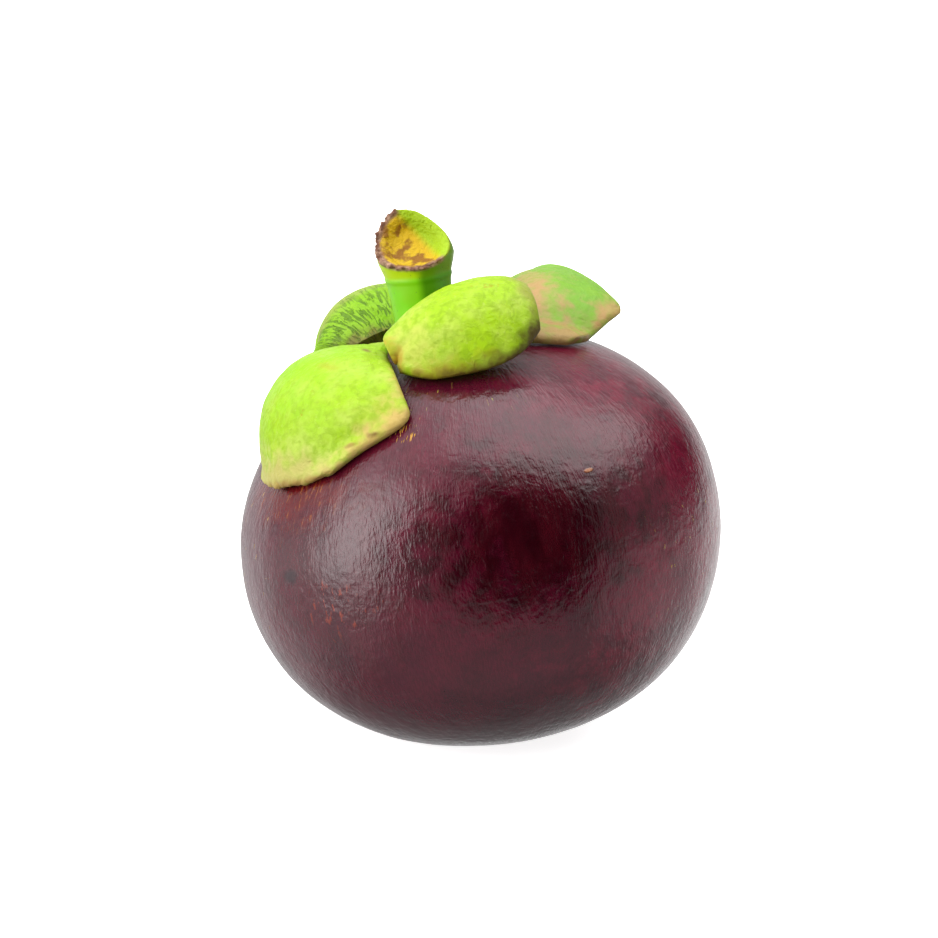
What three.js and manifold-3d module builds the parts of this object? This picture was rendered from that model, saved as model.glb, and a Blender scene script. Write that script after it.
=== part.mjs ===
// A whole mangosteen: a round, slightly flattened fruit that leans a little and rests on a small flat
// spot, four thick leathery sepals that arch over its shoulder, a short thick stem broken off on the
// slant, and the flat stigma rosette in the middle of the blossom end.
// Millimetres, +Z up, with the origin at the centre of the flat spot that the fruit rests on.
import * as THREE from "three";
import { mergeVertices } from "three/addons/utils/BufferGeometryUtils.js";
import Module from "manifold-3d";

const wasm = await Module();
wasm.setup();

const DEGREE = Math.PI / 180;
const GAP = 0.3; // the clearance kept between neighbouring pieces
const CUTTER_SINK = 1; // how far a sepal's cutter reaches under the skin

// The fruit, in its own frame: +Z along its axis, origin at its centre.
const FRUIT = {
  radius: 31.25,
  crownHeight: 26.1, // centre to the stem end
  baseHeight: 26.5, // centre to the blossom end
  squareness: 2.19, // exponent of the profile: 2 is an ellipse
  lean: 7.2 * DEGREE, // its axis leans to -X
  flatDepth: 0.5, // how far the resting spot cuts into the round base
  around: 60,
  along: 30,
};
// Where the skin is flatter than the even profile: most of all where the left sepal pressed on it.
const FLATTER = [
  { azimuth: 196 * DEGREE, elevation: 38 * DEGREE, depth: 2.2, spread: 25 * DEGREE },
  { azimuth: 0, elevation: -22 * DEGREE, depth: 0.5, spread: 18 * DEGREE },
];

// The calyx, where the stem and the sepals spring from: a little off the crown, towards -X.
const CALYX = { offset: -5.2, footRadius: 5.3, footHeight: -0.8 };

// The stem: broken off on the slant through its swollen joint.
const STEM = {
  offset: -3.6, // of its foot from the fruit's axis, towards -X
  sink: 1.3, // depth of its seat in the crown
  footRadius: 4.1,
  waistRadius: 3.75,
  waistHeight: 4,
  neckRadius: 4.2,
  neckHeight: 9.8,
  jointRadius: 4.9,
  jointHeight: 12.2,
  domeHeight: 6.4, // of the rounded end above the joint
  domeSquareness: 1.8, // exponent of its profile: 2 is an ellipse
  domeLean: 1.3, // how far its top leans to -X
  domeBend: 1.5, // exponent of that lean with height
  around: 32,
};
// The hollow break: a ball, stretched along X, cut out of the stem's end; its centre in the stem's frame.
const BREAK = { radius: 7.2, stretch: 1.8, y: -5.7, height: 18.6 };

// Each sepal is a blade that springs from the calyx, arches over and droops, and is cupped across.
// Lengths are along the middle, widths from the middle to the edge; rise, droop and cup in degrees.
const BLADE = {
  thickness: 1.9,
  edgeThickness: 1.1,
  footShare: 0.42, // width of the foot, as a share of the full width
  footTurn: 0.08, // share of the bend from rise to droop already made at the foot
  footCup: 0.35, // share of the full cupping at the foot
  cupped: 1.8, // one over the place along the blade where the cupping is full
  rolled: 1.5, // and where the roll is full
  along: 18,
  across: 14,
};
const SEPALS = {
  left: {
    azimuth: 221.6, length: 27.7, width: 16.8, rise: 24, droop: -84, cup: 60, roll: 5,
    widest: 0.5, tipShare: 0.46, blunt: 0.01, cornerPower: 1.4, skew: 0.05,
  },
  right: {
    azimuth: 8.3, length: 23, width: 12.5, rise: 33, droop: -25, cup: 52, roll: 35,
    widest: 0.64, tipShare: 0.39, blunt: 0.49, cornerPower: 2, skew: 0,
  },
  front: {
    azimuth: 294.7, length: 22.4, width: 10.3, rise: 86, droop: -80, cup: 40, roll: 25,
    widest: 0.52, tipShare: 0.97, blunt: 0.12, cornerPower: 2.9, skew: 0.03,
  },
  back: {
    azimuth: 105.5, length: 23.6, width: 13.6, rise: 66, droop: -79, cup: 89, roll: 7,
    widest: 0.65, tipShare: 0.69, blunt: 0.2, cornerPower: 2.2, skew: 0.01,
  },
};

// The stigma rosette: a thin corky disc with rounded lobes, let into the blossom end, which lies in the
// +X side of the flat.
const ROSETTE = { lobes: 6, radius: 4, lobeDepth: 0.8, notchSharpness: 6, thickness: 1, points: 72 };

// ---- solids -----------------------------------------------------------------------------------------

function solidOf(geometry) {
  const bare = geometry.clone();
  bare.deleteAttribute("normal");
  bare.deleteAttribute("uv");
  const merged = mergeVertices(bare, 1e-4);
  return new wasm.Manifold(
    new wasm.Mesh({
      numProp: 3,
      vertProperties: merged.getAttribute("position").array,
      triVerts: new Uint32Array(merged.index.array),
    }),
  );
}

function geometryOf(solid) {
  const { vertProperties, triVerts, numProp } = solid.getMesh();
  const positions = new Float32Array((vertProperties.length / numProp) * 3);
  for (let i = 0; i * numProp < vertProperties.length; i++)
    positions.set(vertProperties.subarray(i * numProp, i * numProp + 3), i * 3);
  return new THREE.BufferGeometry()
    .setAttribute("position", new THREE.BufferAttribute(positions, 3))
    .setIndex(new THREE.BufferAttribute(triVerts, 1));
}

// A closed body from two grids of points, outer and inner, of the same size, joined along their rims.
function shellGeometry(outer, inner) {
  const rows = outer.length;
  const columns = outer[0].length;
  const points = [...outer.flat(), ...inner.flat()];
  const index = [];
  const at = (layer, i, j) => layer * rows * columns + i * columns + j;
  const quad = (a, b, c, d) => index.push(a, b, c, a, c, d);
  for (let i = 0; i + 1 < rows; i++)
    for (let j = 0; j + 1 < columns; j++) {
      quad(at(0, i, j), at(0, i + 1, j), at(0, i + 1, j + 1), at(0, i, j + 1));
      quad(at(1, i, j), at(1, i, j + 1), at(1, i + 1, j + 1), at(1, i + 1, j));
    }
  const last = { row: rows - 1, column: columns - 1 };
  for (let i = 0; i < last.row; i++) {
    quad(at(0, i, 0), at(1, i, 0), at(1, i + 1, 0), at(0, i + 1, 0));
    quad(at(0, i, last.column), at(0, i + 1, last.column), at(1, i + 1, last.column), at(1, i, last.column));
  }
  for (let j = 0; j < last.column; j++) {
    quad(at(0, 0, j), at(0, 0, j + 1), at(1, 0, j + 1), at(1, 0, j));
    quad(at(0, last.row, j), at(1, last.row, j), at(1, last.row, j + 1), at(0, last.row, j + 1));
  }
  return new THREE.BufferGeometry().setFromPoints(points).setIndex(index);
}

function smooth(t) {
  const x = THREE.MathUtils.clamp(t, 0, 1);
  return x * x * (3 - 2 * x);
}

// ---- fruit ------------------------------------------------------------------------------------------

const Y_AXIS = new THREE.Vector3(0, 1, 0);
const Z_AXIS = new THREE.Vector3(0, 0, 1);
const flatterPlaces = FLATTER.map(({ azimuth, elevation, depth, spread }) => ({
  towards: new THREE.Vector3(Math.cos(azimuth), Math.sin(azimuth), Math.tan(elevation)).normalize(),
  depth,
  spread,
}));

// How far the skin lies from the fruit's centre along a unit direction.
function skinDistance(direction) {
  const n = FRUIT.squareness;
  const half = direction.z > 0 ? FRUIT.crownHeight : FRUIT.baseHeight;
  const across = Math.hypot(direction.x, direction.y) / FRUIT.radius;
  const level = Math.pow(across, n) + Math.pow(Math.abs(direction.z) / half, n);
  let distance = Math.pow(level, -1 / n);
  for (const { towards, depth, spread } of flatterPlaces)
    distance -= depth * Math.exp(-Math.pow(direction.angleTo(towards) / spread, 2));
  return distance;
}

// Moves a point in or out along the line from the fruit's centre to this clearance off the skin.
function onSkin(point, clearance) {
  const direction = point.clone().normalize();
  return direction.multiplyScalar(skinDistance(direction) + clearance);
}

// Lifts a point along the same line only as far as it needs to clear the skin.
function keepOffSkin(point, clearance) {
  const softness = 0.35;
  const over = point.length() - skinDistance(point.clone().normalize());
  const lifted = clearance + softness * Math.log1p(Math.exp((over - clearance) / softness));
  return point.clone().multiplyScalar(1 + (lifted - over) / point.length());
}

function fruitGeometry() {
  const geometry = new THREE.SphereGeometry(1, FRUIT.around, FRUIT.along).rotateX(Math.PI / 2);
  const position = geometry.getAttribute("position");
  const point = new THREE.Vector3();
  for (let i = 0; i < position.count; i++) {
    point.fromBufferAttribute(position, i);
    position.setXYZ(i, ...onSkin(point, 0));
  }
  return geometry;
}

// ---- stem -------------------------------------------------------------------------------------------

// The stem's outline, turned about +Z from its foot at height 0; grow makes it fatter for its seat.
function stemGeometry(grow = 0) {
  const outline = new THREE.SplineCurve([
    new THREE.Vector2(STEM.footRadius, 0),
    new THREE.Vector2(STEM.waistRadius, STEM.waistHeight),
    new THREE.Vector2(STEM.neckRadius, STEM.neckHeight),
    new THREE.Vector2(STEM.jointRadius, STEM.jointHeight),
  ]).getPoints(10);
  const domeSteps = 8;
  for (let i = 1; i < domeSteps; i++) {
    const rise = Math.sin(((i / domeSteps) * Math.PI) / 2);
    const share = Math.pow(1 - Math.pow(rise, STEM.domeSquareness), 1 / STEM.domeSquareness);
    outline.push(new THREE.Vector2(STEM.jointRadius * share, STEM.jointHeight + STEM.domeHeight * rise));
  }
  const grown = outline.map(({ x, y }) => new THREE.Vector2(x + grow, y));
  const top = new THREE.Vector2(0, STEM.jointHeight + STEM.domeHeight);
  const foot = [new THREE.Vector2(0, -grow), new THREE.Vector2(STEM.footRadius + grow, -grow)];
  const walls = grow > 0 ? grown : grown.slice(1);
  const geometry = new THREE.LatheGeometry([...foot, ...walls, top], STEM.around).rotateX(Math.PI / 2);
  const position = geometry.getAttribute("position");
  for (let i = 0; i < position.count; i++) {
    const rise = Math.max(position.getZ(i) - STEM.jointHeight, 0) / STEM.domeHeight;
    position.setX(i, position.getX(i) - STEM.domeLean * Math.pow(rise, STEM.domeBend));
  }
  return geometry;
}

function stemSolid() {
  const hollow = new THREE.SphereGeometry(BREAK.radius, 40, 24);
  hollow.scale(BREAK.stretch, 1, 1).translate(0, BREAK.y, BREAK.height);
  return solidOf(stemGeometry()).subtract(solidOf(hollow));
}

const stemTop = onSkin(new THREE.Vector3(STEM.offset, 0, FRUIT.crownHeight), 0);
const stemFoot = new THREE.Vector3(STEM.offset, 0, stemTop.z - STEM.sink);
const stemSeat = stemGeometry(GAP).translate(...stemFoot);

// ---- sepals -----------------------------------------------------------------------------------------

// The line down the middle of the blade, as points and headings in the plane of radius and height.
const MIDRIB_STEPS = 200;
function midrib(sepal) {
  const line = [];
  let radius = CALYX.footRadius;
  let height = CALYX.footHeight;
  for (let i = 0; i <= MIDRIB_STEPS; i++) {
    const turned = smooth(THREE.MathUtils.lerp(BLADE.footTurn, 1, i / MIDRIB_STEPS));
    const heading = THREE.MathUtils.lerp(sepal.rise, sepal.droop, turned) * DEGREE;
    line.push({ radius, height, heading });
    radius += (Math.cos(heading) * sepal.length) / MIDRIB_STEPS;
    height += (Math.sin(heading) * sepal.length) / MIDRIB_STEPS;
  }
  return line;
}

function alongMidrib(line, u) {
  const x = THREE.MathUtils.clamp(u, 0, 1) * MIDRIB_STEPS;
  const i = Math.min(Math.floor(x), MIDRIB_STEPS - 1);
  const between = (key) => THREE.MathUtils.lerp(line[i][key], line[i + 1][key], x - i);
  return { radius: between("radius"), height: between("height"), heading: between("heading") };
}

function bladeHalfWidth(sepal, u) {
  const { width, widest, tipShare } = sepal;
  const opened = Math.sin((Math.min(u / widest, 1) * Math.PI) / 2);
  if (u < widest) return width * THREE.MathUtils.lerp(BLADE.footShare, 1, opened);
  return width * (1 - (1 - tipShare) * Math.pow((u - widest) / (1 - widest), 2));
}

// A point of the blade in the fruit's frame: u from foot to tip, v from edge to edge, offset outwards.
function bladePoint(sepal, line, u, v, offset) {
  const corner = sepal.blunt * Math.pow(Math.abs(v), sepal.cornerPower) + sepal.skew * v;
  const along = u * (1 - corner * u);
  const { radius, height, heading } = alongMidrib(line, along);
  const cup = sepal.cup * DEGREE * THREE.MathUtils.lerp(BLADE.footCup, 1, smooth(along * BLADE.cupped));
  const reach = bladeHalfWidth(sepal, along) / cup;
  const roll = sepal.roll * DEGREE * smooth(along * BLADE.rolled);
  const curve = reach + offset;
  const section = new THREE.Vector2(curve * Math.sin(cup * v), curve * Math.cos(cup * v) - reach);
  section.rotateAround(new THREE.Vector2(), roll);
  return new THREE.Vector3(
    radius - Math.sin(heading) * section.y,
    section.x,
    FRUIT.crownHeight + height + Math.cos(heading) * section.y,
  )
    .applyAxisAngle(Z_AXIS, sepal.azimuth * DEGREE)
    .add(new THREE.Vector3(CALYX.offset, 0, 0));
}

// The blade as a solid. As a cutter it is fatter by grow all round and filled down into the fruit.
function sepalSolid(sepal, grow = 0) {
  const line = midrib(sepal);
  const outer = [];
  const inner = [];
  for (let i = 0; i <= BLADE.along; i++) {
    outer.push([]);
    inner.push([]);
    for (let j = 0; j <= BLADE.across; j++) {
      const u = (i / BLADE.along) * (1 + grow / sepal.length);
      const v = ((j / BLADE.across) * 2 - 1) * (1 + grow / sepal.width);
      const edge = Math.max(Math.abs(v), u);
      const half = THREE.MathUtils.lerp(BLADE.thickness, BLADE.edgeThickness, edge ** 3) / 2;
      const top = keepOffSkin(bladePoint(sepal, line, u, v, half + grow), GAP + 2 * half + grow);
      outer[i].push(top);
      const under = bladePoint(sepal, line, u, v, -half);
      inner[i].push(grow > 0 ? onSkin(top, -CUTTER_SINK) : keepOffSkin(under, GAP));
    }
  }
  return solidOf(shellGeometry(outer, inner));
}

// ---- stigma rosette ---------------------------------------------------------------------------------

function rosetteGeometry(grow = 0) {
  const outline = [];
  for (let i = 0; i < ROSETTE.points; i++) {
    const angle = (i / ROSETTE.points) * 2 * Math.PI;
    const notch = Math.pow(Math.abs(Math.cos((angle * ROSETTE.lobes) / 2)), ROSETTE.notchSharpness);
    const radius = ROSETTE.radius - ROSETTE.lobeDepth * notch + grow;
    outline.push(new THREE.Vector2(Math.cos(angle) * radius, Math.sin(angle) * radius));
  }
  return new THREE.ExtrudeGeometry(new THREE.Shape(outline), {
    depth: ROSETTE.thickness + 2 * grow,
    bevelEnabled: false,
  });
}

// ---- the whole --------------------------------------------------------------------------------------

// The lowest point of the skin once the fruit leans, with the fruit's centre as origin.
function lowestPoint() {
  const steps = 3600;
  const lowest = new THREE.Vector3();
  for (let i = 0; i < steps; i++) {
    const angle = (i / steps) * 2 * Math.PI;
    const point = onSkin(new THREE.Vector3(Math.cos(angle), 0, Math.sin(angle)), 0);
    point.applyAxisAngle(Y_AXIS, -FRUIT.lean);
    if (point.z < lowest.z) lowest.copy(point);
  }
  return lowest;
}

// The fruit's frame in the part's frame, whose origin is in the middle of the flat, and the blossom
// end, where the fruit's axis meets the base.
const lowest = lowestPoint();
const centreHeight = -lowest.z - FRUIT.flatDepth;
const placed = new THREE.Matrix4()
  .makeTranslation(-lowest.x, 0, centreHeight)
  .multiply(new THREE.Matrix4().makeRotationY(-FRUIT.lean));
const blossomEnd = new THREE.Vector3(centreHeight * Math.tan(FRUIT.lean) - lowest.x, 0, 0);

// The fruit in the part's frame, cut flat where it rests, with seats for the stem and the rosette.
function fruitSolid() {
  const width = 3 * FRUIT.radius;
  const below = new THREE.BoxGeometry(width, width, width).translate(0, 0, -width / 2);
  const rosetteSeat = rosetteGeometry(GAP).translate(blossomEnd.x, blossomEnd.y, -GAP);
  return solidOf(fruitGeometry().applyMatrix4(placed))
    .subtract(solidOf(below))
    .subtract(solidOf(rosetteSeat))
    .subtract(solidOf(stemSeat.clone().applyMatrix4(placed)));
}

function mesh(name, solid, color, roughness) {
  const material = new THREE.MeshStandardMaterial({ color, roughness, metalness: 0 });
  const made = new THREE.Mesh(geometryOf(solid), material);
  made.name = name;
  return made;
}

// Every sepal clears the stem, and the front and back ones end where they meet their neighbours.
const aroundStem = (sepal) => sepalSolid(sepal).subtract(solidOf(stemSeat));
const leftSpace = sepalSolid(SEPALS.left, GAP);
const rightSpace = sepalSolid(SEPALS.right, GAP);
const besideNeighbours = (sepal) => aroundStem(sepal).subtract(leftSpace).subtract(rightSpace);

const SEPAL_GREEN = 0x9ac83a;
const calyx = new THREE.Group();
calyx.applyMatrix4(placed);
calyx.add(mesh("sepal_left", aroundStem(SEPALS.left), SEPAL_GREEN, 0.5));
calyx.add(mesh("sepal_right", aroundStem(SEPALS.right), SEPAL_GREEN, 0.5));
calyx.add(mesh("sepal_front", besideNeighbours(SEPALS.front), SEPAL_GREEN, 0.5));
calyx.add(mesh("sepal_back", besideNeighbours(SEPALS.back), SEPAL_GREEN, 0.5));
const stem = mesh("stem", stemSolid(), 0x86c81e, 0.4);
stem.position.copy(stemFoot);
calyx.add(stem);

const rosette = mesh("stigma_rosette", solidOf(rosetteGeometry()), 0x4a2f22, 0.8);
rosette.position.copy(blossomEnd);

const mangosteen = new THREE.Group();
mangosteen.add(mesh("fruit", fruitSolid(), 0x3a0e18, 0.3), calyx, rosette);

export default mangosteen;
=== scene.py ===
# A whole mangosteen: a glossy wine-dark fruit with four thick green sepals arched over its crown, a short
# stem broken off on the slant, and a corky stigma rosette underneath.
from math import cos, pi, radians, sin, tan

import bpy
import numpy as np
from mathutils import Matrix, Vector, noise


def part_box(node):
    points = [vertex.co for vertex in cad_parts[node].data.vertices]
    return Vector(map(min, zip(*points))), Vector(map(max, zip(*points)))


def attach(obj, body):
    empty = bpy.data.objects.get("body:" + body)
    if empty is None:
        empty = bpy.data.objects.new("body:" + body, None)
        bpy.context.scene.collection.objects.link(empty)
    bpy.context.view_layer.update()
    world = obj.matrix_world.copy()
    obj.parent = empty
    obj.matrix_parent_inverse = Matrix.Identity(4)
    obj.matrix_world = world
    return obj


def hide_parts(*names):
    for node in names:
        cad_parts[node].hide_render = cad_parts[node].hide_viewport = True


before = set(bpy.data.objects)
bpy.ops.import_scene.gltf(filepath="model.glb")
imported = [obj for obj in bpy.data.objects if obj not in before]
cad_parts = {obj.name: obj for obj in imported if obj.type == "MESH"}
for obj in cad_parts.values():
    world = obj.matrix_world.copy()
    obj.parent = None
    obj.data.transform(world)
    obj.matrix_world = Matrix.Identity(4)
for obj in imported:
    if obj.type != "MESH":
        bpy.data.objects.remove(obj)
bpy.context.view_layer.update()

bl_info = {
    "name": "Mangosteen",
    "version": (1, 0, 0),
    "blender": (4, 5, 0),
    "location": "View3D > Sidebar > Mangosteen",
    "description": "Models a whole mangosteen around its packed frame",
    "category": "Object",
}

MM = 0.001
WELD = 1e-6  # metres; points closer than this after a cut are one

# ---- the fruit's shape ------------------------------------------------------------------------------
# Worked out in millimetres in the fruit's own frame: +Z along its axis, origin at its centre.

FRUIT_LOW, FRUIT_HIGH = (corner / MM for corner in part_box("fruit"))
RADIUS = (FRUIT_HIGH.y - FRUIT_LOW.y) / 2
CROWN_HEIGHT = 26.1  # centre to the stem end
BASE_HEIGHT = 26.5  # centre to the blossom end
SQUARENESS = 2.19  # exponent of the profile: 2 is an ellipse
LEAN = radians(7.2)  # the axis leans to -X
FLAT_DEPTH = 0.5  # how far the resting spot cuts into the round base
GAP = 0.3  # the clearance kept between neighbouring pieces


def towards(azimuth, elevation):
    """The unit direction at an azimuth from +X towards +Y and an elevation above the equator, in degrees."""
    a, e = radians(azimuth), radians(elevation)
    return Vector((cos(a) * cos(e), sin(a) * cos(e), sin(e)))


# Where the skin is flatter than the even profile: most of all where the left sepal pressed on it.
FLATTER = [
    {"towards": towards(196, 38), "depth": 2.2, "spread": radians(25)},
    {"towards": towards(0, -22), "depth": 0.5, "spread": radians(18)},
]


def skin_distance(direction):
    """How far the skin lies from the fruit's centre, along unit directions, one to a row."""
    half = np.where(direction[:, 2] > 0, CROWN_HEIGHT, BASE_HEIGHT)
    across = np.hypot(direction[:, 0], direction[:, 1]) / RADIUS
    distance = (across**SQUARENESS + (np.abs(direction[:, 2]) / half) ** SQUARENESS) ** (-1 / SQUARENESS)
    for place in FLATTER:
        angle = np.arccos(np.clip(direction @ np.array(place["towards"]), -1, 1))
        distance = distance - place["depth"] * np.exp(-((angle / place["spread"]) ** 2))
    return distance


def lengths(points):
    return np.linalg.norm(points, axis=1)


def on_skin(points, clearance):
    """Moves points in or out along the line from the fruit's centre to this clearance off the skin."""
    direction = points / lengths(points)[:, None]
    return direction * (skin_distance(direction) + clearance)[:, None]


def keep_off_skin(points, clearance):
    """Lifts points along the same line only as far as they need to clear the skin."""
    softness = 0.35
    away = lengths(points)
    over = away - skin_distance(points / away[:, None])
    lifted = clearance + softness * np.logaddexp(0, (over - clearance) / softness)
    return points * (1 + (lifted - over) / away)[:, None]


def lowest_point():
    """The lowest point of the skin once the fruit leans, measured from the fruit's centre."""
    angle = np.linspace(0, 2 * pi, 3600, endpoint=False)
    outline = on_skin(np.stack([np.cos(angle), 0 * angle, np.sin(angle)], axis=1), 0)
    height = outline[:, 0] * sin(LEAN) + outline[:, 2] * cos(LEAN)
    sideways = outline[:, 0] * cos(LEAN) - outline[:, 2] * sin(LEAN)
    lowest = int(np.argmin(height))
    return sideways[lowest], height[lowest]


LOWEST_X, LOWEST_Z = lowest_point()
CENTRE = Vector((-LOWEST_X, 0, -LOWEST_Z - FLAT_DEPTH))
PLACED = Matrix.Translation(CENTRE) @ Matrix.Rotation(-LEAN, 4, "Y")
BLOSSOM_END = Vector((CENTRE.x + CENTRE.z * tan(LEAN), 0, 0))

# ---- the stem ---------------------------------------------------------------------------------------

STEM_OFFSET = -3.6  # of the stem's foot from the fruit's axis, towards -X
STEM_SINK = 1.3  # depth of its seat in the crown
# The stem's outline: radius at height above its foot.
STEM_OUTLINE = [(4.1, 0), (3.75, 4), (4.2, 9.8), (4.9, 12.2)]
# The rounded end above the joint: its height, the exponent of its profile, how far its top leans to -X
# and the exponent of that lean with height.
DOME = {"height": 6.4, "squareness": 1.8, "lean": 1.3, "bend": 1.5}
NODE_RING = {"height": 9.6, "width": 0.35, "rise": 0.12}  # the scar of a pair of leaves
STEM_FACETS = {"count": 5, "rise": 0.07, "turn": 0.6}  # it isn't quite round
# The hollow break follows a ball that is stretched along X. Within its rim it slopes down to a deeper
# scoop.
BREAK = {"radius": 7.2, "stretch": 1.8, "centre": Vector((0, -5.7, 18.6))}
SCOOP = {"rim": 0.7, "slope": 1.6, "depth": 0.9}
LIP = {"width": 0.45, "rise": 0.08, "crumbs": 0.5}  # the dry, crumbling edge of the break

# ---- the sepals -------------------------------------------------------------------------------------

CALYX_OFFSET = -5.2  # where the sepals spring from, off the fruit's axis towards -X
SEPAL_FOOT_RADIUS = 5.3
SEPAL_FOOT_HEIGHT = -0.8
SEPAL_THICKNESS = 1.9
SEPAL_EDGE_THICKNESS = 1.1
MARGIN_SHARE = 0.15  # of the thickness there, left at the very margin
CUTTER_SINK = 1  # how far the room cut out for a sepal reaches below the skin

# What the four blades share: the width, the turn and the cup of the foot, as shares of the full ones,
# and how quickly the blade gets its full cup and roll.
BLADE = {"foot_width": 0.42, "foot_turn": 0.08, "foot_cup": 0.35, "cupped": 1.8, "rolled": 1.5}
# Where along the blade its second side's waist ends and its taper begins, and their powers.
WAIST = {"end": 0.4, "power": 1.3}
TAPER = {"start": 0.6, "power": 1.5}

# Each sepal is a blade that springs from the calyx, arches over and droops, and is cupped across.
# Millimetres and degrees. width goes from the midrib to an edge, rise and droop are the headings at foot
# and tip, and cup is the angle that each side bends through. widest is where it has its full width,
# tip_share the share of it left at the tip, blunt and corner_power how the tip's corners are cut back,
# and skew how far the tip slants. rim is how far its thickness takes to round off at the margin, puff
# how far its middle swells, ragged how uneven its margin is. sides widens its two sides, and waist and
# taper narrow its second side at the foot and at the tip.
SEPALS = {
    "left": {
        "azimuth": 221.6, "length": 27.7, "width": 16.8, "rise": 24, "droop": -84, "cup": 60, "roll": 5,
        "widest": 0.5, "tip_share": 0.46, "blunt": 0.01, "corner_power": 1.4, "skew": 0.05,
        "rim": 2.0, "puff": 0.0, "ragged": 0.35, "sides": (1, 1), "waist": 0.85, "taper": 0,
    },
    "right": {
        "azimuth": 8.3, "length": 23, "width": 12.5, "rise": 33, "droop": -25, "cup": 52, "roll": 35,
        "widest": 0.64, "tip_share": 0.39, "blunt": 0.49, "corner_power": 2, "skew": 0,
        "rim": 1.8, "puff": 0.0, "ragged": 0.15, "sides": (0.95, 1), "waist": 0, "taper": 0,
    },
    "front": {
        "azimuth": 294.7, "length": 22.4, "width": 10.3, "rise": 86, "droop": -80, "cup": 40, "roll": 25,
        "widest": 0.52, "tip_share": 0.97, "blunt": 0.12, "corner_power": 2.9, "skew": 0.03,
        "rim": 2.2, "puff": 0.4, "ragged": 0.1, "sides": (1, 1), "waist": 0, "taper": 0.16,
    },
    "back": {
        "azimuth": 105.5, "length": 23.6, "width": 13.6, "rise": 66, "droop": -79, "cup": 89, "roll": 7,
        "widest": 0.65, "tip_share": 0.69, "blunt": 0.2, "corner_power": 2.2, "skew": 0.01,
        "rim": 1.8, "puff": 0.0, "ragged": 0.15, "sides": (1, 1.45), "waist": 0, "taper": 0,
    },
}

# ---- the stigma rosette -----------------------------------------------------------------------------

ROSETTE = {"lobes": 6, "radius": 4, "lobe_depth": 0.8, "notch_sharpness": 6, "thickness": 1, "grain": 0.14}
# Its underside is hollowed by a groove between each two lobes and a dimple in the middle.
GROOVE = {"depth": 0.22, "start": 1.5}
DIMPLE = {"depth": 0.3, "radius": 0.9}
ROSETTE_PITS = {"depth": 0.05, "size": 0.5}


def smooth(t):
    """An S-curve that goes from 0 to 1 as t does, and stays there beyond."""
    x = np.clip(t, 0, 1)
    return x * x * (3 - 2 * x)


def ramp(value, start, width):
    """Rises smoothly from 0 at start to 1 this width further on."""
    return smooth((value - start) / width)


def between(start, end, share):
    return start + (end - start) * share


def stem_foot():
    """The middle of the stem's foot, in the fruit's frame."""
    top = on_skin(np.array([[STEM_OFFSET, 0, CROWN_HEIGHT]]), 0)[0]
    return Vector((STEM_OFFSET, 0, top[2] - STEM_SINK))


# ---- meshes -----------------------------------------------------------------------------------------


def deselect():
    if bpy.context.object and bpy.context.object.mode != "OBJECT":
        bpy.ops.object.mode_set(mode="OBJECT")
    bpy.ops.object.select_all(action="DESELECT")


def new_piece(name):
    """Names the primitive that was just added."""
    piece = bpy.context.object
    piece.name = name
    piece.data.name = name
    return piece


def points_of(piece):
    """The mesh's points in millimetres, one to a row."""
    flat = np.empty(3 * len(piece.data.vertices))
    piece.data.vertices.foreach_get("co", flat)
    return flat.reshape(-1, 3) / MM


def move_points(piece, points):
    piece.data.vertices.foreach_set("co", (np.asarray(points) * MM).ravel())
    piece.data.update()


def metres(matrix):
    """A matrix in millimetres as one for meshes in metres."""
    scaled = matrix.copy()
    scaled.translation = matrix.translation * MM
    return scaled


def mark(piece, name, values):
    """Stores a value from 0 to 1 at each point of the piece, for its material."""
    attribute = piece.data.attributes.new(name, "FLOAT", "POINT")
    attribute.data.foreach_set("value", np.ascontiguousarray(values, dtype=np.float32))


def normals_of(piece):
    flat = np.empty(3 * len(piece.data.vertices))
    piece.data.vertices.foreach_get("normal", flat)
    return flat.reshape(-1, 3)


def bumpiness(points, size, seed=0):
    """Smooth noise from -1 to 1 at these points, with bumps about this many millimetres apart."""
    shift = Vector((17.3 * seed, 5.1 * seed, 9.7 * seed))
    return np.array([noise.noise(Vector(point) / size + shift) for point in points])


def apply(piece, kind, **settings):
    """Adds a modifier with these settings and applies it."""
    bpy.context.view_layer.objects.active = piece
    modifier = piece.modifiers.new(kind.title(), kind)
    for name, value in settings.items():
        setattr(modifier, name, value)
    bpy.ops.object.modifier_apply(modifier=modifier.name)


def cut(piece, cutter, solver="EXACT"):
    apply(piece, "BOOLEAN", operation="DIFFERENCE", object=cutter, solver=solver)


def remove(*pieces):
    for piece in pieces:
        mesh = piece.data
        bpy.data.objects.remove(piece)
        bpy.data.meshes.remove(mesh)


def edit_all(piece):
    """Goes to edit mode with the whole piece selected."""
    deselect()
    piece.select_set(True)
    bpy.context.view_layer.objects.active = piece
    bpy.ops.object.mode_set(mode="EDIT")
    bpy.ops.mesh.select_all(action="SELECT")


def face_outwards(piece):
    edit_all(piece)
    bpy.ops.mesh.normals_make_consistent(inside=False)
    bpy.ops.object.mode_set(mode="OBJECT")


def finish_piece(piece, material, node_name, crease=50):
    """Smooths the finished piece up to the crease angle, paints it and hangs it on the frame."""
    deselect()
    piece.select_set(True)
    bpy.context.view_layer.objects.active = piece
    bpy.ops.object.shade_smooth_by_angle(angle=radians(crease))
    piece.data.materials.clear()
    piece.data.materials.append(material)
    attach(piece, "root")
    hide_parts(node_name)


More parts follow.
